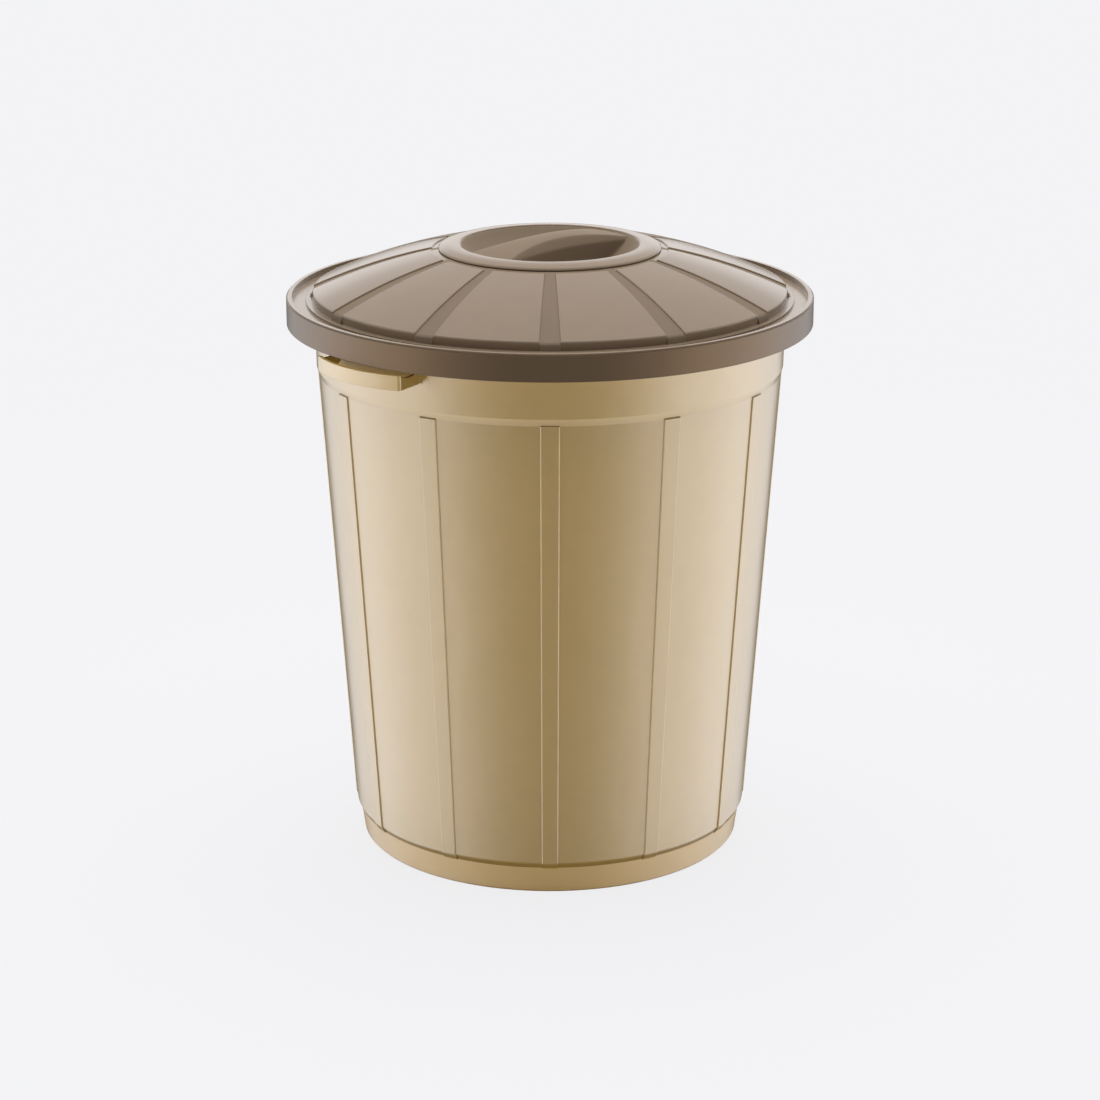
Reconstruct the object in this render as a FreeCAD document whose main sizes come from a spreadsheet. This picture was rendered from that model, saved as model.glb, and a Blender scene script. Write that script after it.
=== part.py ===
import FreeCAD, Part
import math
import os
from collections import namedtuple

import Sketcher

# Round dustbin of about fifty litres with a loose lid that lifts off.
# Frame: the origin is on the floor under the middle of the bin, +Z is up,
# and the two side grips and the bar in the lid's handle lie along X.

# Driving sizes, in millimetres, degrees and counts.
SIZES = (
    ("bin_wall", 2.5, "wall of the bin"),
    ("base_radius", 173.4, "outside of the foot on the floor"),
    ("base_bevel", 1.6, "bevel at the foot of the base ring"),
    ("base_rise", 4, "how far the base panel stands above the floor"),
    ("foot_width", 16, "width of the standing ring under the base"),
    ("ring_height", 25, "height of the recessed base ring"),
    ("ring_draft", 3.3, "how far the base ring leans out up to its top"),
    ("ledge_step", 3.1, "how far the wall overhangs the base ring"),
    ("ledge_rise", 5.5, "height of the slope under the ledge"),
    ("collar_foot_radius", 207, "outside of the wall where the collar starts"),
    ("collar_step", 2.2, "how far the collar stands out"),
    ("collar_rise", 6.5, "height of the slope under the collar"),
    ("collar_draft", 1, "how far the collar leans out up to the rim"),
    ("rim_height", 498, "top of the rim, where the lid sits"),
    ("collar_band", 61.5, "height of the collar with its slope, up to the rim's top"),
    ("rim_overhang", 18.8, "how far the rim stands out from the collar"),
    ("rim_drop", 12, "depth of the rim's turned-down lip"),
    ("rim_bevel", 1.2, "bevel on the rim's two top edges"),
    ("floor_bevel", 6, "bevel between the floor and the wall inside"),
    ("rib_count", 12, "ribs around the bin, and panels around the lid"),
    ("rib_angle", 4.5, "width of a rib seen from the axis"),
    ("rib_proud", 1.2, "how far a rib stands out"),
    ("rib_drop", 1.6, "how far a rib's foot runs below the ledge"),
    ("rib_bevel", 0.5, "bevel on a rib's long edges"),
    ("grip_stand", 32.8, "how far a grip stands out from the collar"),
    ("grip_chord", 104, "length of a grip"),
    ("grip_bow", 116, "radius of a grip's outside in plan"),
    ("grip_wall", 3, "wall of a grip"),
    ("grip_gap", 3.6, "gap between a grip and the lid's skirt"),
    ("grip_band", 13, "height of a grip's band"),
    ("grip_corner", 3.5, "round between a grip's band and end walls"),
    ("grip_flare", 7, "gusset between a grip's end wall and the collar"),
    ("grip_slope", 2.2, "rise of an end wall's lower edge up to the gusset"),
    ("grip_gusset", 14, "rise of the gusset's lower edge up to the collar"),
    ("grip_scoop", 16.5, "radius of the scoop in the top of an end wall"),
    ("grip_scoop_depth", 3, "depth of that scoop"),
    ("lid_wall", 2.4, "wall of the lid"),
    ("lid_gap", 3.6, "gap between the rim and the lid's skirt"),
    ("skirt_drop", 16.4, "how far the skirt hangs below the rim's top"),
    ("lid_lip_height", 5.1, "lip of the lid above its channel"),
    ("lid_lip_width", 5, "width of that lip"),
    ("lid_lip_bevel", 1.4, "bevel on the lip's outer edge"),
    ("channel_width", 12.5, "width of the lid's channel"),
    ("plinth_rise", 2.1, "ledge of the lid above its channel"),
    ("ledge_width", 7.3, "width of the ledge beside the dome at a strip"),
    ("dome_radius", 505, "radius of the dome at a strip"),
    ("dome_side", 6.67, "height of the dome's side above the ledge at a strip"),
    ("strip_angle", 4.8, "width of a strip between two panels seen from the axis"),
    ("panel_proud", 1.3, "how far a panel stands above the strips"),
    ("panel_gap", 6, "gap between the handle's ring and the panels"),
    ("panel_bevel", 0.7, "bevel on a panel's top edges"),
    ("strap_spread", 3.8, "how far the bend of a strip runs out at its foot"),
    ("strap_round", 2.5, "bend of a strip over the dome's edge"),
    ("strap_sink", 0.15, "how far that bend lies below the strip"),
    ("handle_ring", 19.2, "width of the handle's ring"),
    ("handle_rise", 5.2, "top of the ring above its seat"),
    ("handle_crown", 2.4, "how far the ring's top falls to its outer edge"),
    ("handle_bevel", 1.2, "bevel on the ring's outer edge"),
    ("handle_lap", 10, "overlap of the ring on its seat"),
    ("handle_undercut", 0.8, "shadow gap under the ring's outer edge"),
    ("undercut_width", 1.6, "width of that gap's slope"),
    ("well_radius", 80, "mouth of the finger well"),
    ("well_depth", 34, "depth of the finger well below its mouth"),
    ("well_bevel", 1.2, "bevel on the mouth of the well"),
    ("handle_wall", 2.4, "wall of the handle"),
    ("plug_depth", 8, "depth of the plug wall below the seat"),
    ("plug_gap", 0.3, "clearance of the plug wall in the lid"),
    ("catch_count", 6, "catches around the plug wall"),
    ("catch_angle", 9, "width of a catch seen from the axis"),
    ("catch_proud", 1.3, "how far a catch stands out"),
    ("bar_end_width", 58, "width of the bar at its ends, under the ring"),
    ("bar_waist", 34, "width of the bar in the middle, below its shoulders"),
    ("bar_shoulder", 5, "width of each sloping shoulder in the middle"),
    ("bar_shoulder_drop", 8.5, "depth of those shoulders"),
    ("bar_end_arch", 1, "arch across the bar's top at its ends"),
    ("bar_waist_arch", 1.4, "arch across the bar's top in the middle"),
    ("bar_rise", 7.2, "bar's top above the ring in the middle"),
    ("bar_end_drop", 3.4, "bar's top below the ring at its ends"),
    ("bar_bevel", 0.6, "bevel on the bar's long edges at its ends"),
    ("bar_spread", 3.5, "how far each side of the bar leans out downwards"),
    ("bar_hollow", 64, "reach of the hollow under the bar"),
)

FULL_TURN = 360
QUARTER_TURN = 90
CROWN_FLATS = 4
CROWN_POWER = 3
TOLERANCE = 0.02

doc = FreeCAD.newDocument("dustbin")
sheet = doc.addObject("Spreadsheet::Sheet", "Sizes")
for row, (alias, number, note) in enumerate(SIZES, start=1):
    sheet.set(f"A{row}", alias)
    sheet.set(f"B{row}", str(number))
    sheet.set(f"C{row}", note)
    sheet.setAlias(f"B{row}", alias)
doc.recompute()


class Size:
    """A length as a number, with the sheet expression that gives it."""

    def __init__(self, text, value):
        self.text = text
        self.value = value

    def join(self, sign, other, value):
        return Size(f"({self.text} {sign} {as_size(other).text})", value)

    def __add__(self, other):
        return self.join("+", other, self.value + as_size(other).value)

    def __sub__(self, other):
        return self.join("-", other, self.value - as_size(other).value)

    def __mul__(self, other):
        return self.join("*", other, self.value * as_size(other).value)

    def __truediv__(self, other):
        return self.join("/", other, self.value / as_size(other).value)

    def __neg__(self):
        return Size(f"(-{self.text})", -self.value)


def as_size(number):
    """A plain number, or a Size as it is."""
    if isinstance(number, Size):
        return number
    return Size(str(number), float(number))


def size(alias):
    """The driving size with that name."""
    return Size(f"Sizes.{alias}", float(sheet.get(alias)))


def root(number):
    """The square root of a Size."""
    return Size(f"sqrt({number.text})", math.sqrt(number.value))


def leg(hypotenuse, side):
    """The other short side of a right-angled triangle."""
    return root(hypotenuse * hypotenuse - side * side)


# A corner of an outline. The edge that leaves it is straight, or an arc above or below its centre.
# A coordinate that such an arc settles is None. A corner between two straight edges can be rounded.
Corner = namedtuple("Corner", "x y rounding arc", defaults=(None, None))
Arc = namedtuple("Arc", "x y radius side", defaults=(1,))


def bind(feature, prop, number):
    """Tie a property to the sheet."""
    feature.setExpression(prop, as_size(number).text)


def corner_point(corner, arc):
    """A corner as a plain vector, with the help of the arc that it lies on."""
    if corner.x is None:
        y = as_size(corner.y).value
        reach = math.sqrt(arc.radius.value ** 2 - (y - as_size(arc.y).value) ** 2)
        return FreeCAD.Vector(as_size(arc.x).value + reach, y, 0)
    x = as_size(corner.x).value
    if corner.y is None:
        reach = math.sqrt(arc.radius.value ** 2 - (x - as_size(arc.x).value) ** 2)
        return FreeCAD.Vector(x, as_size(arc.y).value + arc.side * reach, 0)
    return FreeCAD.Vector(x, as_size(corner.y).value, 0)


class Outline:
    """A closed outline in a sketch, every corner of it tied to the sheet."""

    def __init__(self, sketch, corners):
        self.sketch = sketch
        self.corners = corners
        self.points = []
        for index, corner in enumerate(corners):
            self.points.append(corner_point(corner, corner.arc or corners[index - 1].arc))
        self.edges = []
        for index in range(len(corners)):
            self.edges.append(self.add_edge(index))
        for index in range(len(corners)):
            self.close_corner(index)

    def limit(self, kind, *places):
        """Add a constraint. A Size at its end is tied to the sheet."""
        if not isinstance(places[-1], Size):
            self.sketch.addConstraint(Sketcher.Constraint(kind, *places))
            return
        number = places[-1]
        index = self.sketch.addConstraint(Sketcher.Constraint(kind, *places[:-1], number.value))
        self.sketch.setExpression(f"Constraints[{index}]", number.text)

    def place(self, geometry, end, x, y):
        """Hold a point at its coordinates, or on an axis where one is nought."""
        for kind, axis, number in (("DistanceX", -2, x), ("DistanceY", -1, y)):
            if number is None:
                continue
            if isinstance(number, Size):
                self.limit(kind, geometry, end, number)
            else:
                self.limit("PointOnObject", geometry, end, axis)

    def cut_back(self, index, towards):
        """Where the straight edge towards another corner leaves this corner's round."""
        point = self.points[index]
        rounding = self.corners[index].rounding
        if rounding is None:
            return point
        count = len(self.points)
        first = (self.points[index - 1] - point).normalize()
        second = (self.points[(index + 1) % count] - point).normalize()
        reach = rounding.value / math.tan(first.getAngle(second) / 2)
        return point + (self.points[towards] - point).normalize() * reach

    def add_edge(self, index):
        """Draw the edge that leaves a corner, and note its geometry and its two ends."""
        following = (index + 1) % len(self.points)
        arc = self.corners[index].arc
        if arc is None:
            start = self.cut_back(index, following)
            stop = self.cut_back(following, index)
            return self.sketch.addGeometry(Part.LineSegment(start, stop)), 1, 2
        centre = FreeCAD.Vector(as_size(arc.x).value, as_size(arc.y).value, 0)
        start = self.points[index]
        stop = self.points[following]
        geometry, first, last = self.draw_arc(centre, arc.radius.value, start, stop)
        self.limit("Radius", geometry, arc.radius)
        self.place(geometry, 3, arc.x, arc.y)
        return geometry, first, last

    def draw_arc(self, centre, radius, start, stop):
        """Draw the shorter arc between two points, and say which of its ends comes first."""
        angles = [math.atan2(point.y - centre.y, point.x - centre.x) for point in (start, stop)]
        turn = (start - centre).cross(stop - centre).z
        circle = Part.Circle(centre, FreeCAD.Vector(0, 0, 1), radius)
        if turn > 0:
            return self.sketch.addGeometry(Part.ArcOfCircle(circle, angles[0], angles[1])), 1, 2
        return self.sketch.addGeometry(Part.ArcOfCircle(circle, angles[1], angles[0])), 2, 1

    def close_corner(self, index):
        """Join the two edges of a corner, and hold the corner in its place."""
        corner = self.corners[index]
        before, _, before_end = self.edges[index - 1]
        after, after_start, _ = self.edges[index]
        if corner.rounding is None:
            self.limit("Coincident", before, before_end, after, after_start)
            self.place(after, after_start, corner.x, corner.y)
            return
        count = len(self.points)
        point = self.points[index]
        start = self.cut_back(index, (index - 1) % count)
        stop = self.cut_back(index, (index + 1) % count)
        middle = (start + stop) / 2
        half = (stop - start).Length / 2
        inward = (middle - point).normalize()
        offset = math.sqrt(corner.rounding.value ** 2 - half ** 2)
        centre = middle + inward * offset
        arc, first, last = self.draw_arc(centre, corner.rounding.value, start, stop)
        self.limit("Tangent", before, before_end, arc, first)
        self.limit("Tangent", after, after_start, arc, last)
        self.limit("Radius", arc, corner.rounding)
        sharp = self.sketch.addGeometry(Part.Point(point), True)
        self.place(sharp, 1, corner.x, corner.y)
        self.limit("PointOnObject", sharp, 1, before)
        self.limit("PointOnObject", sharp, 1, after)


def new_body(name):
    """An empty body."""
    return doc.addObject("PartDesign::Body", name)


def empty_sketch(body, name, role):
    """An empty sketch on a plane of the body's own origin."""
    sketch = body.newObject("Sketcher::SketchObject", name)
    planes = [plane for plane in body.Origin.OriginFeatures if plane.Role == role]
    sketch.AttachmentSupport = [(planes[0], "")]
    sketch.MapMode = "FlatFace"
    return sketch


def new_sketch(body, name, role, corners):
    """A sketch of one closed outline on a plane of the body's own origin."""
    sketch = empty_sketch(body, name, role)
    Outline(sketch, corners)
    return sketch


def axis_of(body, role):
    """An axis of the body's own origin."""
    axes = [axis for axis in body.Origin.OriginFeatures if axis.Role == role]
    return axes[0], [""]


def turned(body, name, corners, angle=None, turn=None):
    """A solid turned about the upright axis, whole or over an angle about a plane turned from X."""
    sketch = new_sketch(body, name + "_section", "XZ_Plane", corners)
    if turn is not None:
        sketch.AttachmentOffset = FreeCAD.Placement(
            FreeCAD.Vector(), FreeCAD.Rotation(FreeCAD.Vector(0, 1, 0), turn.value))
        bind(sketch, "AttachmentOffset.Rotation.Angle", turn)
    feature = body.newObject("PartDesign::Revolution", name)
    feature.Profile = sketch
    feature.ReferenceAxis = (sketch, ["V_Axis"])
    feature.Angle = FULL_TURN
    if angle is not None:
        feature.Midplane = True
        bind(feature, "Angle", angle)
    doc.recompute()
    return feature


def around(body, feature, name, count):
    """Repeat a feature evenly about the upright axis."""
    pattern = body.newObject("PartDesign::PolarPattern", name)
    pattern.Originals = [feature]
    pattern.Axis = axis_of(body, "Z_Axis")
    pattern.Angle = FULL_TURN
    bind(pattern, "Occurrences", count)
    body.Tip = pattern
    doc.recompute()
    return pattern


def dressed(body, feature, name, kind, places, reach):
    """Round or bevel the edges, or all edges of the faces, with those names."""
    dressing = body.newObject("PartDesign::" + kind, name)
    dressing.Base = (feature, places)
    bind(dressing, {"Fillet": "Radius", "Chamfer": "Size"}[kind], reach)
    body.Tip = dressing
    doc.recompute()
    return dressing


def same(first, second):
    """Whether two lengths agree."""
    return abs(first - second) < TOLERANCE


# Heights and radii that several pieces share.
ring_radius = size("base_radius") + size("ring_draft")
ledge_height = size("ring_height") + size("ledge_rise")
wall_foot_radius = ring_radius + size("ledge_step")
collar_height = size("rim_height") - size("collar_band")
collar_full_height = collar_height + size("collar_rise")
collar_radius = size("collar_foot_radius") + size("collar_step")
collar_top_radius = collar_radius + size("collar_draft")
rim_radius = collar_top_radius + size("rim_overhang")
strip_turn = as_size(FULL_TURN) / 2 / size("rib_count")
skirt_low = size("rim_height") - size("skirt_drop")
grip_top = skirt_low - size("grip_gap")
grip_low = grip_top - size("grip_band")
lid_radius = rim_radius + size("lid_gap") + size("lid_wall")
lip_inner = lid_radius - size("lid_lip_width")
plinth_radius = lip_inner - size("channel_width")
channel_height = size("rim_height") + size("lid_wall")
ledge_top = channel_height + size("plinth_rise")
dome_edge = plinth_radius - size("ledge_width")
dome_centre = ledge_top + size("dome_side") - leg(size("dome_radius"), dome_edge)
handle_radius = size("well_radius") + size("handle_ring")
seat_radius = handle_radius + size("plug_gap")
seat_height = dome_centre + leg(size("dome_radius"), seat_radius)
hole_radius = handle_radius - size("handle_lap")
handle_top = seat_height + size("handle_rise")
plug_radius = hole_radius - size("plug_gap")
well_sphere = (size("well_radius") * size("well_radius") / size("well_depth") + size("well_depth")) / 2
well_centre = handle_top - size("well_depth") + well_sphere


# Wall of the bin, turned in one piece from the floor to the rim.
def make_bin_wall(body):
    wall = size("bin_wall")
    floor_top = size("base_rise") + wall
    foot_inner = size("base_radius") - size("foot_width")
    flange_low = size("rim_height") - wall
    lip_low = size("rim_height") - size("rim_drop")
    bevel_low = size("rim_height") - size("rim_bevel")
    floor_radius = size("base_radius") - wall
    corners = (
        Corner(0, size("base_rise")),
        Corner(foot_inner, size("base_rise")),
        Corner(foot_inner + size("base_rise"), 0),
        Corner(size("base_radius") - size("base_bevel"), 0),
        Corner(size("base_radius"), size("base_bevel")),
        Corner(ring_radius, size("ring_height")),
        Corner(wall_foot_radius, ledge_height),
        Corner(size("collar_foot_radius"), collar_height),
        Corner(collar_radius, collar_full_height),
        Corner(collar_top_radius, flange_low),
        Corner(rim_radius - wall, flange_low),
        Corner(rim_radius - wall, lip_low),
        Corner(rim_radius, lip_low),
        Corner(rim_radius, bevel_low),
        Corner(rim_radius - size("rim_bevel"), size("rim_height")),
        Corner(collar_top_radius - wall + size("rim_bevel"), size("rim_height")),
        Corner(collar_top_radius - wall, bevel_low),
        Corner(collar_radius - wall, collar_full_height),
        Corner(size("collar_foot_radius") - wall, collar_height),
        Corner(wall_foot_radius - wall, ledge_height),
        Corner(ring_radius - wall, size("ring_height")),
        Corner(floor_radius, floor_top + size("floor_bevel")),
        Corner(floor_radius - size("floor_bevel"), floor_top),
        Corner(0, floor_top),
    )
    return turned(body, "bin_wall_turn", corners)


# Upright ribs, which end under the collar and run just past the ledge.
def add_ribs(body):
    half_wall = size("bin_wall") / 2
    proud = size("rib_proud")
    foot = size("ring_height") - size("rib_drop")
    corners = (
        Corner(size("collar_foot_radius") - half_wall, collar_height),
        Corner(wall_foot_radius - half_wall, ledge_height),
        Corner(ring_radius - half_wall, foot),
        Corner(ring_radius, foot),
        Corner(wall_foot_radius + proud, ledge_height),
        Corner(size("collar_foot_radius") + proud, collar_height),
    )
    rib = turned(body, "rib", corners, size("rib_angle"), strip_turn)
    return around(body, rib, "ribs", size("rib_count"))


def rib_edges(shape):
    """Names of the long outer edges of the ribs."""
    rib_foot_radius = wall_foot_radius.value + size("rib_proud").value
    rise = collar_height.value - ledge_height.value
    lean = (size("collar_foot_radius").value - wall_foot_radius.value) / rise
    names = []
    for index, edge in enumerate(shape.Edges, start=1):
        ends = [vertex.Point for vertex in edge.Vertexes]
        if len(ends) < 2 or edge.Length < rise / 2:
            continue
        reaches = [math.hypot(end.x, end.y) - lean * (end.z - ledge_height.value) for end in ends]
        if all(same(reach, rib_foot_radius) for reach in reaches):
            names.append(f"Edge{index}")
    return names


# One side grip: a bowed band on two end walls, open above and below.
def make_grip(body):
    half = size("grip_chord") / 2
    wall = size("grip_wall")
    seat = collar_radius - size("bin_wall") / 2
    inner_half = half - wall
    flare_half = half + size("grip_flare")
    root_x = leg(seat, inner_half)
    flare_x = leg(seat, flare_half)
    centre_x = collar_radius + size("grip_stand") - size("grip_bow")
    outside = Arc(centre_x, 0, size("grip_bow"))
    inside = Arc(centre_x, 0, size("grip_bow") - wall)
    neck_x = root_x + size("grip_flare")
    corners = (
        Corner(flare_x, -flare_half),
        Corner(neck_x, -half),
        Corner(None, -half, None, outside),
        Corner(None, half),
        Corner(neck_x, half),
        Corner(flare_x, flare_half),
        Corner(root_x, inner_half),
        Corner(None, inner_half, None, inside),
        Corner(None, -inner_half),
        Corner(root_x, -inner_half),
    )
    sketch = new_sketch(body, "grip_plan", "XY_Plane", corners)
    bind(sketch, "AttachmentOffset.Base.z", grip_low)
    band = body.newObject("PartDesign::Pad", "grip_band")
    band.Profile = sketch
    bind(band, "Length", size("grip_band"))
    doc.recompute()
    end_x = centre_x + leg(size("grip_bow"), half)
    inner_end_x = centre_x + leg(size("grip_bow") - wall, inner_half)
    outer_edges = upright_edges(band.Shape, end_x, half)
    inner_edges = upright_edges(band.Shape, inner_end_x, inner_half)
    dressed(body, band, "grip_corners", "Fillet", outer_edges + inner_edges, size("grip_corner"))
    slope_under(body, root_x, neck_x, end_x)
    scoop_tops(body, neck_x, end_x)


def upright_edges(shape, x, y):
    """Names of the two upright edges at that distance each side of the X axis."""
    names = []
    for index, edge in enumerate(shape.Edges, start=1):
        middle = edge.CenterOfMass
        if same(middle.x, x.value) and same(abs(middle.y), y.value):
            names.append(f"Edge{index}")
    return names


def cut_across(body, name, sketch):
    """Cut a side outline through the grip, both ways from its middle plane."""
    cut = body.newObject("PartDesign::Pocket", name)
    cut.Profile = sketch
    cut.Type = "Length"
    cut.SideType = "Symmetric"
    bind(cut, "Length", size("grip_chord") * 2)
    before = cut.BaseFeature.Shape.Volume
    doc.recompute()
    if cut.Shape.Volume > before - TOLERANCE:
        raise RuntimeError(name + " cuts nothing")
    return cut


def slope_under(body, root_x, neck_x, end_x):
    """Let the lower edge of the end walls rise towards the collar."""
    knee = grip_low + size("grip_slope")
    below = grip_low - size("grip_band")
    wall_x = root_x - size("grip_flare")
    corners = (
        Corner(wall_x, below),
        Corner(end_x, below),
        Corner(end_x, grip_low),
        Corner(neck_x, knee),
        Corner(wall_x, knee + size("grip_gusset")),
    )
    cut_across(body, "grip_underside", new_sketch(body, "grip_underside_section", "XZ_Plane", corners))


def scoop_tops(body, neck_x, end_x):
    """Scoop the top edge of each end wall."""
    sketch = empty_sketch(body, "grip_scoop_section", "XZ_Plane")
    centre_x = (neck_x + end_x) / 2
    centre_z = grip_top + size("grip_scoop") - size("grip_scoop_depth")
    centre = FreeCAD.Vector(centre_x.value, centre_z.value, 0)
    circle = sketch.addGeometry(Part.Circle(centre, FreeCAD.Vector(0, 0, 1), size("grip_scoop").value))
    for kind, places, number in (
        ("Radius", (circle,), size("grip_scoop")),
        ("DistanceX", (circle, 3), centre_x),
        ("DistanceY", (circle, 3), centre_z),
    ):
        index = sketch.addConstraint(Sketcher.Constraint(kind, *places, number.value))
        sketch.setExpression(f"Constraints[{index}]", number.text)
    cut_across(body, "grip_scoops", sketch)


# Lid: skirt, lip, channel, ledge and a dome that is still solid, with a hole for the handle.
def make_lid_form(body):
    wall = size("lid_wall")
    skirt_inner = lid_radius - wall
    lip_top = channel_height + size("lid_lip_height")
    outside = Arc(0, dome_centre, size("dome_radius"))
    corners = (
        Corner(hole_radius, seat_height),
        Corner(seat_radius, None, None, outside),
        Corner(dome_edge, None),
        Corner(dome_edge, ledge_top),
        Corner(plinth_radius, ledge_top),
        Corner(plinth_radius, channel_height),
        Corner(lip_inner, channel_height),
        Corner(lip_inner, lip_top),
        Corner(lid_radius - size("lid_lip_bevel"), lip_top),
        Corner(lid_radius, lip_top - size("lid_lip_bevel")),
        Corner(lid_radius, skirt_low),
        Corner(skirt_inner, skirt_low),
        Corner(skirt_inner, size("rim_height")),
        Corner(plinth_radius - wall, size("rim_height")),
        Corner(plinth_radius - wall, ledge_top - wall),
        Corner(hole_radius, ledge_top - wall),
    )
    return turned(body, "lid_turn", corners)


# Hollow under the dome, up to the flat seat of the handle, before a ball trims it.
def make_dome_hollow(body):
    wall = size("lid_wall")
    low = size("rim_height") - wall
    seat_low = seat_height - wall
    corners = (
        Corner(0, low),
        Corner(dome_edge - wall, low),
        Corner(dome_edge - wall, seat_height),
        Corner(seat_radius, seat_height),
        Corner(seat_radius, seat_low),
        Corner(0, seat_low),
    )
    return turned(body, "dome_hollow_turn", corners)


# Raised panels of the dome. The strips between them stay low.
def add_panels(body):
    proud = size("panel_proud")
    panel_inner = handle_radius + size("panel_gap")
    half_wall = size("lid_wall") / 2
    ledge = ledge_top - half_wall
    side = dome_edge + proud
    outside = Arc(0, dome_centre, size("dome_radius") + proud)
    inside = Arc(0, dome_centre, size("dome_radius") - half_wall)
    corners = (
        Corner(panel_inner, None, None, outside),
        Corner(side, None),
        Corner(side, ledge),
        Corner(dome_edge - half_wall, ledge),
        Corner(dome_edge - half_wall, None, None, inside),
        Corner(panel_inner, None),
    )
    panel = turned(body, "panel", corners, strip_turn * 2 - size("strip_angle"))
    return around(body, panel, "panels", size("rib_count"))


# Outer end of each strip, which bends over the dome's edge down to the channel.
def add_straps(body):
    half_wall = size("lid_wall") / 2
    strap_foot = dome_edge + size("strap_spread")
    floor = channel_height - half_wall
    inner = dome_edge - half_wall
    side_top = dome_edge + size("panel_proud")
    sunk_centre = dome_centre - size("strap_sink")
    corners = (
        Corner(inner, floor),
        Corner(strap_foot, floor),
        Corner(side_top, sunk_centre + leg(size("dome_radius"), side_top), size("strap_round")),
        Corner(inner, sunk_centre + leg(size("dome_radius"), inner)),
    )
    strap = turned(body, "strap", corners, size("strip_angle"), strip_turn)
    return around(body, strap, "straps", size("rib_count"))


def sphere_faces(shape, radius):
    """Names of the faces that lie on a sphere of that radius."""
    names = []
    for index, face in enumerate(shape.Faces, start=1):
        surface = face.Surface
        if isinstance(surface, Part.Sphere) and same(surface.Radius, radius.value):
            names.append(f"Face{index}")
    return names


# Handle of the lid: a ring with a crowned top, and a plug wall that snaps into the lid.
def make_handle_ring(body):
    wall = size("handle_wall")
    plug_low = seat_height - size("plug_depth")
    ring_low = handle_top - wall
    bevel = size("handle_bevel")
    crowned = size("handle_ring") - bevel
    crown = []
    for step in range(CROWN_FLATS + 1):
        share = step / CROWN_FLATS
        fall = size("handle_crown") * (share ** CROWN_POWER)
        crown.append(Corner(size("well_radius") + crowned * share, handle_top - fall))
    corners = (
        *crown,
        Corner(handle_radius, handle_top - size("handle_crown") - bevel),
        Corner(handle_radius, seat_height + size("handle_undercut")),
        Corner(handle_radius - size("undercut_width"), seat_height),
        Corner(plug_radius, seat_height),
        Corner(plug_radius, plug_low),
        Corner(plug_radius - wall, plug_low),
        Corner(plug_radius - wall, ring_low),
        Corner(size("well_radius"), ring_low),
    )
    return turned(body, "ring_turn", corners)


# Catches that hold the plug wall under the edge of the lid's hole.
def add_catches(body):
    inner = plug_radius - size("handle_wall") / 2
    top = seat_height - size("lid_wall") - size("plug_gap")
    corners = (
        Corner(inner, top),
        Corner(plug_radius + size("catch_proud"), top),
        Corner(inner, seat_height - size("plug_depth")),
    )
    catch = turned(body, "catch", corners, size("catch_angle"))
    return around(body, catch, "catches", size("catch_count"))


# Form of the bar across the well, with an arched top, or of the hollow under it, with a flat one.
def make_bar(body, inset, arched):
    past_wall = size("handle_wall") * 2
    reach = size("well_radius") + past_wall
    end_top = handle_top - size("bar_end_drop")
    waist_top = handle_top + size("bar_rise")
    bevel = size("bar_bevel")
    ends = (size("bar_end_width"), size("bar_end_arch"), end_top, bevel, bevel)
    shoulder = (size("bar_shoulder"), size("bar_shoulder_drop"))
    waist = (size("bar_waist"), size("bar_waist_arch"), waist_top, *shoulder)
    sections = []
    for name, place, (width, arch, top, slope, drop) in (
        ("first", -reach, ends),
        ("middle", None, waist),
        ("last", reach, ends),
    ):
        half = width / 2 - inset
        flat_half = half - slope
        low = handle_top - size("well_depth") - past_wall - inset
        if arched:
            crown = (flat_half * flat_half + arch * arch) / 2 / arch
            edge = top - arch - drop
            upper = (
                Corner(half, edge),
                Corner(flat_half, None, None, Arc(0, top - crown, crown)),
                Corner(-flat_half, None),
                Corner(-half, edge),
            )
        else:
            flat = top - inset - arch / 2
            upper = (Corner(flat_half, flat), Corner(-flat_half, flat))
        lower = (Corner(-half - size("bar_spread"), low), Corner(half + size("bar_spread"), low))
        sketch = new_sketch(body, f"{body.Name}_{name}", "YZ_Plane", upper + lower)
        if place is not None:
            bind(sketch, "AttachmentOffset.Base.z", place)
        sections.append(sketch)
    loft = body.newObject("PartDesign::AdditiveLoft", body.Name + "_loft")
    loft.Profile = sections[0]
    loft.Sections = sections[1:]
    doc.recompute()
    return loft


def trimmed(name, form, limit):
    """The part of a form that lies inside a limiting solid."""
    common = doc.addObject("Part::MultiCommon", name)
    common.Shapes = [form, limit]
    return common


def ball(name, centre, radius):
    """A ball on the upright axis, laid on its side so that its poles are out of the way."""
    sphere = doc.addObject("Part::Sphere", name)
    on_its_side = FreeCAD.Rotation(FreeCAD.Vector(1, 0, 0), QUARTER_TURN)
    sphere.Placement = FreeCAD.Placement(FreeCAD.Vector(), on_its_side)
    bind(sphere, "Radius", radius)
    bind(sphere, "Placement.Base.z", centre)
    return sphere


def joined(name, *shapes):
    """Several shapes as one."""
    union = doc.addObject("Part::MultiFuse", name)
    union.Shapes = list(shapes)
    return union


def cut_away(name, base, tool):
    """A shape without another."""
    rest = doc.addObject("Part::Cut", name)
    rest.Base = base
    rest.Tool = tool
    return rest


# The bin: wall, ribs and two grips in one moulding.
bin_wall = new_body("bin_wall_form")
make_bin_wall(bin_wall)
ribs = add_ribs(bin_wall)
dressed(bin_wall, ribs, "rib_bevels", "Chamfer", rib_edges(ribs.Shape), size("rib_bevel"))

grip = new_body("grip_form")
make_grip(grip)

far_grip = doc.addObject("Part::Mirroring", "far_grip")
far_grip.Source = grip
far_grip.Normal = FreeCAD.Vector(1, 0, 0)

bin_body = joined("bin_body", bin_wall, grip, far_grip)

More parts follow.
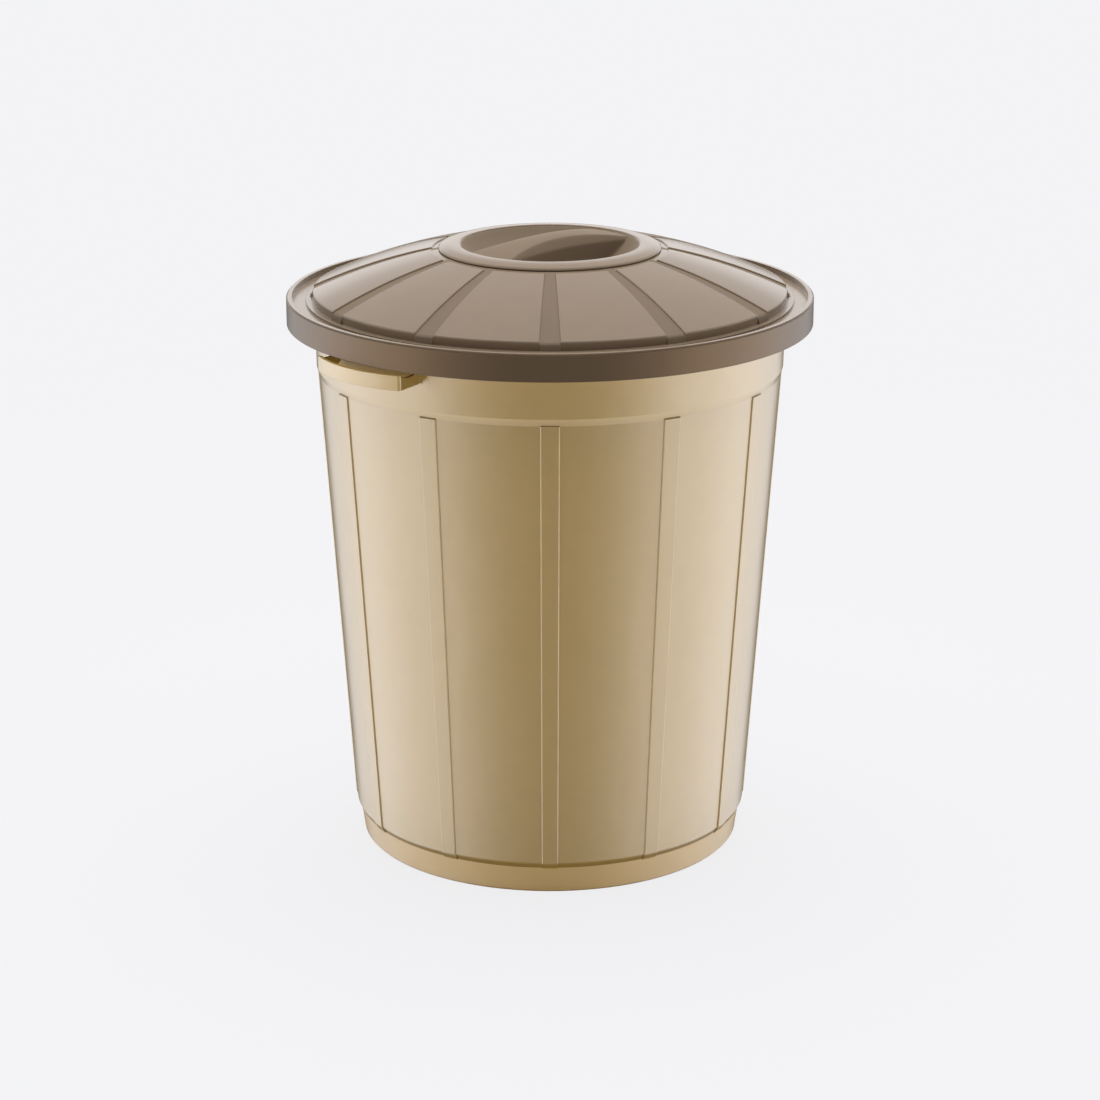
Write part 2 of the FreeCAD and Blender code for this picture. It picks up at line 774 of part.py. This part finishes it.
# The lid's shell, with panels, strips and the seat of the handle.
lid_form = new_body("lid_form")
make_lid_form(lid_form)
panels = add_panels(lid_form)
panel_faces = sphere_faces(panels.Shape, size("dome_radius") + size("panel_proud"))
dressed(lid_form, panels, "panel_bevels", "Chamfer", panel_faces, size("panel_bevel"))
add_straps(lid_form)

dome_hollow_form = new_body("dome_hollow_form")
make_dome_hollow(dome_hollow_form)
dome_limit = ball("dome_limit", dome_centre, size("dome_radius") - size("lid_wall"))
lid_shell = cut_away("lid_shell", lid_form, trimmed("dome_hollow", dome_hollow_form, dome_limit))

# The handle: ring, plug and bowl, and a bar across the bowl that is hollow from below.
ring = new_body("ring_form")
make_handle_ring(ring)
add_catches(ring)

bowl_limit = doc.addObject("Part::Cylinder", "bowl_limit")
bind(bowl_limit, "Radius", plug_radius)
bind(bowl_limit, "Height", handle_top - size("handle_wall") / 2)
bowl = trimmed("bowl", ball("bowl_outside", well_centre, well_sphere + size("handle_wall")), bowl_limit)
mouth = doc.addObject("Part::Cone", "mouth")
bind(mouth, "Radius1", size("well_radius") - size("well_bevel"))
bind(mouth, "Radius2", size("well_radius") + size("well_bevel"))
bind(mouth, "Height", size("well_bevel"))
bind(mouth, "Placement.Base.z", handle_top - size("well_bevel"))
well = joined("well", ball("bowl_inside", well_centre, well_sphere), mouth)
open_handle = cut_away("open_handle", joined("filled_handle", ring, bowl), well)

bar_form = new_body("bar_form")
make_bar(bar_form, as_size(0), True)
bar_limit = ball("bar_limit", well_centre, well_sphere + size("handle_wall") / 2)

hollow_form = new_body("hollow_form")
make_bar(hollow_form, size("handle_wall"), False)
hollow_limit = doc.addObject("Part::Cylinder", "hollow_limit")
bind(hollow_limit, "Radius", size("bar_hollow"))
bind(hollow_limit, "Height", handle_top + size("bar_rise"))

barred_handle = joined("barred_handle", open_handle, trimmed("bar", bar_form, bar_limit))
bar_hollow = trimmed("bar_hollow", hollow_form, hollow_limit)
lid_handle = cut_away("lid_handle", barred_handle, bar_hollow)
doc.recompute()

# Every object is sound before anything is written.
for item in doc.Objects:
    if "Invalid" in item.State or "Error" in item.State:
        raise RuntimeError(f"{item.Label} failed: {item.State}")

os.makedirs("parts", exist_ok=True)
for piece in (bin_body, lid_shell, lid_handle):
    if piece.Shape.isNull() or not piece.Shape.isValid() or len(piece.Shape.Solids) != 1:
        raise RuntimeError(f"{piece.Label} is not one sound solid")
    piece.Shape.exportStep(f"parts/{piece.Label}.step")
    print(piece.Label, round(piece.Shape.Volume), len(piece.Shape.Faces), piece.Shape.BoundBox)
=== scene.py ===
import math

import bpy
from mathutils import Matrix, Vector

# Looks of a round dustbin with a loose lid, in metres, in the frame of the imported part.
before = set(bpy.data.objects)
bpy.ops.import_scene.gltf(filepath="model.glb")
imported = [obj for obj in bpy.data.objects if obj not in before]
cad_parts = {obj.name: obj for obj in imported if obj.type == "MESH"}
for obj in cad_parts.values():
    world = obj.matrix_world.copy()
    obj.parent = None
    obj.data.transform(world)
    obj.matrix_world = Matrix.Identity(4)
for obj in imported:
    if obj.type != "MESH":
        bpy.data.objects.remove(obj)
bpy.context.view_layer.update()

# Camera of the photograph, as a distance from the bin's axis, a height and a downward tilt.
IMAGE_SIZE = 1100
FOCAL_PIXELS = 3128.159
SENSOR_WIDTH = 36.0
CAMERA_DISTANCE = 2.734855
CAMERA_HEIGHT = 1.117615
CAMERA_TILT = math.radians(17.3358)
CAMERA_TURN = math.radians(-45)

# Zones of the lid and its handle, by turns, heights and distances from the axis.
STRIP_COUNT = 12
STRIP_TURN = math.radians(360 / STRIP_COUNT)
STRIP_ANGLE = math.radians(4.8)
STRIP_OUTER = 0.2145
CHANNEL_HEIGHT = 0.5004
SKIRT_INNER = 0.2338
WELL_RADIUS = 0.0795

# Zones of the bin's base ring, the slope under its ledge, its wall, its ribs and its collar.
BASE_RING_HEIGHT = 0.0245
LEDGE_SHADE_HEIGHT = 0.0287
WALL_FOOT = 0.0305
WALL_FOOT_RADIUS = 0.1798
COLLAR_FOOT = 0.4365
COLLAR_FOOT_RADIUS = 0.207
COLLAR_COVE = 0.443
RIB_PROUD = 0.0012

# Zones of the grips and the collar behind them, where shade is painted, and where the bow runs along the
# middle of a grip's wall.
GRIP_BOW_CENTRE = 0.126
GRIP_BOW = 0.1145
GRIP_HALF = 0.0595
GRIP_INSIDE = 0.0517
GRIP_LOW = 0.4625
GRIP_TOP = 0.4786
COLLAR_INSIDE = 0.2082
COLLAR_OUTSIDE = 0.2103
COLLAR_SEEN = 0.4668
RIM_UNDERSIDE = 0.4945

# Reflection of the mouldings, where a half is common plastic.
BIN_SHEEN = 0.6
# Sheen where shade is painted inside the grips and under the ledge.
PAINTED_SHADE_SHEEN = 0.1
LID_SHEEN = 0.7
STRIP_SHEEN = 0.25
SKIRT_SHEEN = 0.66
HANDLE_RING_SHEEN = 0.5
WELL_SHEEN = 0.1

# Roughness of the mouldings.
BIN_ROUGHNESS = 0.35
LID_ROUGHNESS = 0.22
SKIRT_ROUGHNESS = 0.34
HANDLE_RING_ROUGHNESS = 0.22
GRAIN_ROUGHNESS = 0.6

# Polished skin of the bin, and how much of it the base ring and the rib edges have.
COAT_ROUGHNESS = 0.25
COAT_IOR = 1.6
BASE_RING_COAT = 0.5
RIB_EDGE_COAT = 0.5

# Uneven shade and fine grain of the plastic, with scales in repeats per metre.
NOISE_DETAIL = 2.0
SHADE_SCALE = 60.0
SHADE_LOW = 0.96
SHADE_HIGH = 1.04
GRAIN_SCALE = 2500.0
GRAIN_STRENGTH = 0.15
GRAIN_DEPTH = 0.00004

# Soft round that moulded edges show, and the cosines between which an edge counts as bent.
EDGE_ROUND = 0.0008
RIB_ROUND = 0.0012
HANDLE_RING_ROUND = 0.0012
WELL_ROUND = 0.0035
ROUND_SAMPLES = 8
BENT_SPAN = (0.995, 0.93)

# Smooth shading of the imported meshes.
SMOOTH_ANGLE = math.radians(12)
WELD_DISTANCE = 0.00001
NORMAL_WEIGHT = 80

# Floor, with its shares of glow and see-through near the bin, and the spans over which they reach one.
FLOOR_SIZE = 12
FLOOR_SHADE_SCALE = 3.0
FLOOR_SHADE_LOW = 0.99
FLOOR_GLOW = 0.9
GLOW_SPAN = (0.5, 2.0)
STAND_SPAN = (0.22, 0.3)
STAND_THROUGH = 0.85

# Surroundings, by facing, which is one straight away from the camera, and height, which is one straight up.
STUDIO_SPAN = (-0.6, 0.5)
STUDIO_NEAR = 0.05
STUDIO_FAR = 0.95
ALOFT_SPAN = (0.3, 0.8)
ALOFT_SHARE = 0.85
BELOW_SPAN = (0.12, -0.05)

# Panels on both sides below the horizon, brighter than white, which reflections see through the floor.
PANEL_STRENGTH = 2.45
PANEL_RISE_SPAN = (-0.95, -0.4)
PANEL_FALL_SPAN = (0.1, 0.95)
PANEL_FALL_SHARE = 0.3
PANEL_END_SPAN = (0.955, 0.883)
PANEL_SLOPE_SPAN = (-0.8, -0.15)
PANEL_SLOPE_LOW = 0.85
PANEL_SLOPE_HIGH = 1.6
PANEL_FOOT_SPAN = (-0.94, -0.78)

# Colours, as sRGB numbers from 0 to 255.
WHITE = (255, 255, 255)
BACKDROP = (243, 243, 245)
STUDIO = (240, 242, 247)
FLOOR = (228, 228, 230)
BEIGE = (180, 147, 78)
# Painted light: the collar is lighter than the wall.
COLLAR_PAINTED_LIGHT_BEIGE = (191, 157, 85)
# Painted highlight along the long edges of the ribs.
RIB_EDGE_PAINTED_HIGHLIGHT_BEIGE = (222, 192, 128)
# Painted light: the base ring is lighter than the wall.
BASE_RING_PAINTED_LIGHT_BEIGE = (207, 169, 95)
# Painted shade inside the grips and on the slope under the ledge.
PAINTED_SHADE_BEIGE = (158, 128, 66)
TAUPE = (125, 107, 87)
STRIP_TAUPE = (114, 98, 80)
WELL_TAUPE = (119, 103, 85)
# Painted shade: the lid's skirt is darker than the rest of the lid.
SKIRT_PAINTED_SHADE_TAUPE = (82, 70, 56)
SKIRT_GLINT = (255, 204, 152)

# Places of a mix node's share, its two colours and its blended colour among its sockets.
MIX_SHARE = 0
MIX_FIRST = 6
MIX_SECOND = 7
MIX_RESULT = 2


def linear(colour):
    """An sRGB colour as a linear one with full opacity, by the numbers of the sRGB standard."""
    channels = []
    for channel in colour:
        share = channel / 255
        if share <= 0.04045:
            channels.append(share / 12.92)
        else:
            channels.append(((share + 0.055) / 1.055) ** 2.4)
    return (*channels, 1.0)


def seen_from_camera(right, back, height):
    """A point given as the camera sees it: to the right of the axis, behind it and above the floor."""
    x = right * math.cos(CAMERA_TURN) - back * math.sin(CAMERA_TURN)
    y = right * math.sin(CAMERA_TURN) + back * math.cos(CAMERA_TURN)
    return Vector((x, y, height))


class Shader:
    """A material's or world's node tree, with short ways to add to it."""

    def __init__(self, tree):
        self.tree = tree
        self.tree.nodes.clear()

    def add(self, kind, inputs=None, **options):
        """Add a node with its options, and feed its inputs."""
        node = self.tree.nodes.new("ShaderNode" + kind)
        for name, value in options.items():
            setattr(node, name, value)
        for place, value in (inputs or {}).items():
            self.feed(node, place, value)
        return node

    def feed(self, node, place, value):
        """Link a socket or a node to an input, or set that input's value."""
        socket = node.inputs[place]
        if isinstance(value, bpy.types.Node):
            value = value.outputs[0]
        if isinstance(value, bpy.types.NodeSocket):
            self.tree.links.new(value, socket)
        else:
            socket.default_value = value

    def ramp(self, value, span, low=0.0, high=1.0, **options):
        """A number that runs from low to high while another runs over a span."""
        start, stop = span
        inputs = {"Value": value, "From Min": start, "From Max": stop, "To Min": low, "To Max": high}
        return self.add("MapRange", inputs, **options)

    def spread(self, value, low, high):
        """A number from nought to one, spread between two others."""
        return self.ramp(value, (0.0, 1.0), low, high)

    def math(self, operation, *values):
        """An operation on numbers or sockets."""
        return self.add("Math", dict(enumerate(values)), operation=operation)

    def above(self, value, limit):
        """One where a number is above a limit."""
        return self.math("GREATER_THAN", value, limit)

    def below(self, value, limit):
        """One where a number is below a limit."""
        return self.math("LESS_THAN", value, limit)

    def product(self, *values):
        """Numbers times each other, so that tests give one where every test does."""
        result = values[0]
        for value in values[1:]:
            result = self.math("MULTIPLY", result, value)
        return result

    def dot(self, first, second):
        """The cosine between two directions."""
        return self.add("VectorMath", {0: first, 1: second}, operation="DOT_PRODUCT").outputs["Value"]

    def mix(self, share, first, second):
        """A blend of two colours."""
        inputs = {MIX_SHARE: share, MIX_FIRST: first, MIX_SECOND: second}
        return self.add("Mix", inputs, data_type="RGBA").outputs[MIX_RESULT]

    def place(self):
        """The three coordinates in the object's own frame."""
        return self.add("SeparateXYZ", {0: self.add("TexCoord").outputs["Object"]}).outputs

    def reach(self, x, y):
        """The distance from an upright axis."""
        return self.math("SQRT", self.math("ADD", self.product(x, x), self.product(y, y)))

    def noise(self, scale):
        """Noise over the object's own coordinates."""
        place = self.add("TexCoord").outputs["Object"]
        return self.add("TexNoise", {"Vector": place, "Scale": scale, "Detail": NOISE_DETAIL}).outputs[0]

    def bevel(self, radius):
        """Normals that turn softly round an edge."""
        return self.add("Bevel", {"Radius": radius}, samples=ROUND_SAMPLES)

    def finish(self, surface):
        """Send a surface to the output."""
        self.add("OutputMaterial", {"Surface": surface})


def new_material(name):
    """An empty material with its shader."""
    material = bpy.data.materials.new(name)
    material.use_nodes = True
    return material, Shader(material.node_tree)


def plastic(shader, colour, roughness, sheen, coat=0.0, round_edge=EDGE_ROUND):
    """Moulded plastic with a fine grain, a little unevenness and perhaps a polished skin."""
    shade = shader.spread(shader.noise(SHADE_SCALE), SHADE_LOW, SHADE_HIGH)
    tint = shader.add("HueSaturation", {"Value": shade, "Color": colour})
    edge = shader.bevel(round_edge)
    grain = shader.noise(GRAIN_SCALE)
    bump = shader.add("Bump", {
        "Strength": GRAIN_STRENGTH, "Distance": GRAIN_DEPTH, "Height": grain, "Normal": edge})
    return shader.add("BsdfPrincipled", {
        "Base Color": tint, "Roughness": roughness, "Specular IOR Level": sheen, "Normal": bump,
        "Coat Weight": coat, "Coat Roughness": COAT_ROUGHNESS, "Coat IOR": COAT_IOR, "Coat Normal": edge})


def rib_edges(shader):
    """One along the long edges of the ribs, where a soft round turns away from the flat face and a highlight
    is painted.
    """
    x, y, z = shader.place()
    lean = (COLLAR_FOOT_RADIUS - WALL_FOOT_RADIUS) / (COLLAR_FOOT - WALL_FOOT)
    rise = shader.math("MULTIPLY", shader.math("SUBTRACT", z, WALL_FOOT), lean)
    wall = shader.math("ADD", rise, WALL_FOOT_RADIUS)
    proud = shader.math("SUBTRACT", shader.reach(x, y), wall)
    flat = shader.add("NewGeometry").outputs["Normal"]
    bent = shader.ramp(shader.dot(shader.bevel(RIB_ROUND), flat), BENT_SPAN)
    return shader.product(
        shader.above(proud, RIB_PROUD / 2), shader.above(z, WALL_FOOT), shader.below(z, COLLAR_FOOT), bent)


def grip_shade_mask(shader):
    """One where shade is painted: on the inside and end walls of both grips, and on the collar behind them
    and at one end of each.
    """
    x, y, z = shader.place()
    reach = shader.reach(x, y)
    off_middle = shader.math("ABSOLUTE", y)
    off_bow = shader.math("SUBTRACT", shader.math("ABSOLUTE", x), GRIP_BOW_CENTRE)
    within = shader.below(shader.reach(off_bow, y), GRIP_BOW)
    at_grip = shader.product(
        shader.below(off_middle, GRIP_HALF), shader.above(z, GRIP_LOW), shader.below(z, GRIP_TOP))
    loop = shader.product(at_grip, shader.above(reach, COLLAR_OUTSIDE))
    far_end = shader.product(
        at_grip, shader.above(reach, COLLAR_INSIDE), shader.below(shader.product(x, y), 0.0))
    collar = shader.product(
        shader.below(off_middle, GRIP_INSIDE),
        shader.above(reach, COLLAR_INSIDE), shader.below(reach, COLLAR_OUTSIDE),
        shader.above(z, COLLAR_SEEN), shader.below(z, RIM_UNDERSIDE))
    painted_shade = shader.math("MAXIMUM", shader.math("MAXIMUM", collar, loop), far_end)
    return shader.product(painted_shade, within)


def bin_material():
    """Beige plastic with a polished skin, painted shade inside the grips and under the ledge, and painted
    light on the collar, base ring and rib edges.
    """
    material, shader = new_material("bin_plastic")
    _, _, height = shader.place()
    ring = shader.below(height, BASE_RING_HEIGHT)
    # Painted shade under the ledge and inside the grips: darker colour, less sheen and no coat.
    under_ledge = shader.product(
        shader.above(height, BASE_RING_HEIGHT), shader.below(height, LEDGE_SHADE_HEIGHT))
    painted_shade = shader.math("MAXIMUM", grip_shade_mask(shader), under_ledge)
    # Painted light on the collar, which is lighter than the wall.
    collar = shader.ramp(height, (COLLAR_FOOT, COLLAR_COVE))
    rib_highlights = rib_edges(shader)
    colour = shader.mix(collar, linear(BEIGE), linear(COLLAR_PAINTED_LIGHT_BEIGE))
    # Painted highlight: the ribs' long edges are lighter than the wall.
    colour = shader.mix(rib_highlights, colour, linear(RIB_EDGE_PAINTED_HIGHLIGHT_BEIGE))
    # Painted light on the base ring, which is lighter than the wall.
    colour = shader.mix(ring, colour, linear(BASE_RING_PAINTED_LIGHT_BEIGE))
    colour = shader.mix(painted_shade, colour, linear(PAINTED_SHADE_BEIGE))
    coat = shader.spread(rib_highlights, shader.spread(ring, 1.0, BASE_RING_COAT), RIB_EDGE_COAT)
    coat = shader.spread(painted_shade, coat, 0.0)
    sheen = shader.spread(painted_shade, BIN_SHEEN, PAINTED_SHADE_SHEEN)
    shader.finish(plastic(shader, colour, BIN_ROUGHNESS, sheen, coat))
    return material


def lid_masks(shader):
    """One on the lid's strips, and one on its skirt."""
    x, y, z = shader.place()
    reach = shader.reach(x, y)
    turn = shader.math("PINGPONG", shader.math("ARCTAN2", y, x), STRIP_TURN / 2)
    off_strip = shader.math("SUBTRACT", STRIP_TURN / 2, turn)
    strips = shader.product(
        shader.below(off_strip, STRIP_ANGLE / 2),
        shader.below(reach, STRIP_OUTER),
        shader.above(z, CHANNEL_HEIGHT))
    skirt = shader.above(reach, SKIRT_INNER)
    return strips, skirt


def lid_material():
    """Taupe plastic with grained strips, and a skirt that reflects a warm light and is darker with painted
    shade.
    """
    material, shader = new_material("lid_plastic")
    strips, skirt = lid_masks(shader)
    colour = shader.mix(strips, linear(TAUPE), linear(STRIP_TAUPE))
    # Painted shade on the skirt, which is darker than the rest of the lid.
    colour = shader.mix(skirt, colour, linear(SKIRT_PAINTED_SHADE_TAUPE))
    roughness = shader.spread(strips, LID_ROUGHNESS, GRAIN_ROUGHNESS)
    roughness = shader.spread(skirt, roughness, SKIRT_ROUGHNESS)
    sheen = shader.spread(strips, LID_SHEEN, STRIP_SHEEN)
    sheen = shader.spread(skirt, sheen, SKIRT_SHEEN)
    surface = plastic(shader, colour, roughness, sheen)
    shader.feed(surface, "Specular Tint", shader.mix(skirt, linear(WHITE), linear(SKIRT_GLINT)))
    shader.finish(surface)
    return material


def handle_material():
    """Taupe plastic, smooth on the handle's ring and matte on the bar and in the well."""
    material, shader = new_material("handle_plastic")
    x, y, _ = shader.place()
    inside = shader.below(shader.reach(x, y), WELL_RADIUS)
    colour = shader.mix(inside, linear(TAUPE), linear(WELL_TAUPE))
    roughness = shader.spread(inside, HANDLE_RING_ROUGHNESS, GRAIN_ROUGHNESS)
    sheen = shader.spread(inside, HANDLE_RING_SHEEN, WELL_SHEEN)
    round_edge = shader.spread(inside, HANDLE_RING_ROUND, WELL_ROUND)
    shader.finish(plastic(shader, colour, roughness, sheen, round_edge=round_edge))
    return material


def floor_material():
    """Pale paper with shadows, which the camera sees mostly as backdrop and reflections mostly go through."""
    material, shader = new_material("floor_paper")
    x, y, _ = shader.place()
    reach = shader.reach(x, y)
    shade = shader.spread(shader.noise(FLOOR_SHADE_SCALE), FLOOR_SHADE_LOW, 1.0)
    tint = shader.add("HueSaturation", {"Value": shade, "Color": linear(FLOOR)})
    paper = shader.add("BsdfDiffuse", {"Color": tint})
    glow = shader.add("Emission", {"Color": linear(BACKDROP)})
    paths = shader.add("LightPath")
    seen = shader.product(paths.outputs["Is Camera Ray"], shader.ramp(reach, GLOW_SPAN, FLOOR_GLOW))
    shown = shader.add("MixShader", {0: seen, 1: paper, 2: glow})
    through = shader.product(paths.outputs["Is Glossy Ray"], shader.ramp(reach, STAND_SPAN, STAND_THROUGH))
    shader.finish(shader.add("MixShader", {0: through, 1: shown, 2: shader.add("BsdfTransparent")}))
    return material


def smooth_group(angle):
    """A modifier's nodes that shade smooth, apart from edges sharper than an angle."""
    group = bpy.data.node_groups.new("smooth_by_angle", "GeometryNodeTree")
    group.interface.new_socket("Geometry", in_out="INPUT", socket_type="NodeSocketGeometry")
    group.interface.new_socket("Geometry", in_out="OUTPUT", socket_type="NodeSocketGeometry")
    nodes = group.nodes
    start = nodes.new("NodeGroupInput")
    stop = nodes.new("NodeGroupOutput")
    faces = nodes.new("GeometryNodeSetShadeSmooth")
    edges = nodes.new("GeometryNodeSetShadeSmooth")
    edges.domain = "EDGE"
    bend = nodes.new("GeometryNodeInputMeshEdgeAngle")
    gentle = nodes.new("FunctionNodeCompare")
    gentle.operation = "LESS_THAN"
    gentle.inputs["B"].default_value = angle
    group.links.new(bend.outputs["Unsigned Angle"], gentle.inputs["A"])
    group.links.new(start.outputs[0], faces.inputs["Geometry"])
    group.links.new(faces.outputs[0], edges.inputs["Geometry"])
    group.links.new(gentle.outputs[0], edges.inputs["Shade Smooth"])
    group.links.new(edges.outputs[0], stop.inputs[0])
    return group


def soften(node, group):
    """Join the faces of a node and let its small bevels shade as rounds."""
    weld = node.modifiers.new("weld", "WELD")
    weld.merge_threshold = WELD_DISTANCE
    smooth = node.modifiers.new("smooth", "NODES")
    smooth.node_group = group
    weighted = node.modifiers.new("weighted", "WEIGHTED_NORMAL")
    weighted.keep_sharp = True
    weighted.weight = NORMAL_WEIGHT


def dress(name, material, group):
    """Give a node of the part its material and its smooth shading."""
    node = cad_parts[name]
    node.data.materials.clear()
    node.data.materials.append(material)
    soften(node, group)


def add_camera():
    """The camera of the photograph."""
    data = bpy.data.cameras.new("camera")
    data.sensor_width = SENSOR_WIDTH
    data.lens = FOCAL_PIXELS / IMAGE_SIZE * SENSOR_WIDTH
    camera = bpy.data.objects.new("camera", data)
    camera.location = seen_from_camera(0, -CAMERA_DISTANCE, CAMERA_HEIGHT)
    camera.rotation_euler = (math.pi / 2 - CAMERA_TILT, 0, CAMERA_TURN)
    bpy.context.collection.objects.link(camera)
    bpy.context.scene.camera = camera


def add_softbox(name, place, target, width, height, power, reflected):
    """A rectangular lamp at a place, facing a target, which reflections may leave out."""
    data = bpy.data.lights.new(name, "AREA")
    data.shape = "RECTANGLE"
    data.size = width
    data.size_y = height
    data.energy = power
    lamp = bpy.data.objects.new(name, data)
    lamp.location = place
    lamp.rotation_euler = (target - place).to_track_quat("-Z", "Y").to_euler()
    lamp.visible_camera = False
    lamp.visible_glossy = reflected
    bpy.context.collection.objects.link(lamp)


def add_lights():
    """A weak lamp on each side, a broad one above, and one in front of and one behind the bin."""
    for name, side in (("left_lamp", -1), ("right_lamp", 1)):
        add_softbox(
            name, place=seen_from_camera(right=side * 1.8, back=-0.6, height=0.4), target=Vector((0, 0, 0.4)),
            width=1.0, height=0.6, power=0.8, reflected=False)
    add_softbox(
        "top_panel", place=seen_from_camera(right=0, back=0.3, height=2.4),
        target=seen_from_camera(right=0, back=0.3, height=0),
        width=3.0, height=3.0, power=80, reflected=False)
    add_softbox(
        "front_panel", place=seen_from_camera(right=0, back=-2.6, height=0.5), target=Vector((0, 0, 0.2)),
        width=1.8, height=0.6, power=6, reflected=True)
    add_softbox(
        "back_panel", place=seen_from_camera(right=0, back=2.6, height=0.9), target=Vector((0, 0, 0.55)),
        width=3.0, height=0.8, power=5, reflected=True)


def panel_light(shader, facing, height):
    """Strength of the side panels, which fade towards the camera, straight away from it and straight down."""
    rise = shader.ramp(facing, PANEL_RISE_SPAN, 0.0, PANEL_STRENGTH)
    fall = shader.ramp(facing, PANEL_FALL_SPAN, 1.0, PANEL_FALL_SHARE, interpolation_type="SMOOTHSTEP")
    level = shader.math("SQRT", shader.math("SUBTRACT", 1.0, shader.product(height, height)))
    end = shader.ramp(shader.math("DIVIDE", facing, level), PANEL_END_SPAN)
    slope = shader.ramp(height, PANEL_SLOPE_SPAN, PANEL_SLOPE_LOW, PANEL_SLOPE_HIGH)
    foot = shader.ramp(height, PANEL_FOOT_SPAN)
    return shader.product(rise, fall, end, slope, foot)


def add_world():
    """The backdrop for the camera, and for other rays a studio with side panels, dim behind the camera."""
    world = bpy.data.worlds.new("studio")
    bpy.context.scene.world = world
    world.use_nodes = True
    shader = Shader(world.node_tree)
    direction = shader.add("TexCoord").outputs["Generated"]
    facing = shader.dot(direction, seen_from_camera(right=0, back=1, height=0))
    height = shader.add("SeparateXYZ", {0: direction}).outputs[2]
    studio = shader.product(
        shader.ramp(facing, STUDIO_SPAN, STUDIO_NEAR, STUDIO_FAR),
        shader.ramp(height, ALOFT_SPAN, 1.0, ALOFT_SHARE))
    studio = shader.spread(shader.ramp(height, BELOW_SPAN), studio, panel_light(shader, facing, height))
    seen = shader.add("LightPath").outputs["Is Camera Ray"]
    strength = shader.spread(seen, studio, 1.0)
    colour = shader.mix(seen, linear(STUDIO), linear(BACKDROP))
    shader.add("OutputWorld", {"Surface": shader.add("Background", {"Color": colour, "Strength": strength})})


def add_floor():
    """The floor, which isn't part of the object."""
    bpy.ops.mesh.primitive_plane_add(size=FLOOR_SIZE)
    floor = bpy.context.object
    floor.name = "floor"
    floor.data.materials.append(floor_material())


rounds = smooth_group(SMOOTH_ANGLE)
dress("bin_body", bin_material(), rounds)
dress("lid_shell", lid_material(), rounds)
dress("lid_handle", handle_material(), rounds)
add_camera()
add_lights()
add_world()
add_floor()
bpy.context.scene.view_settings.view_transform = "Standard"
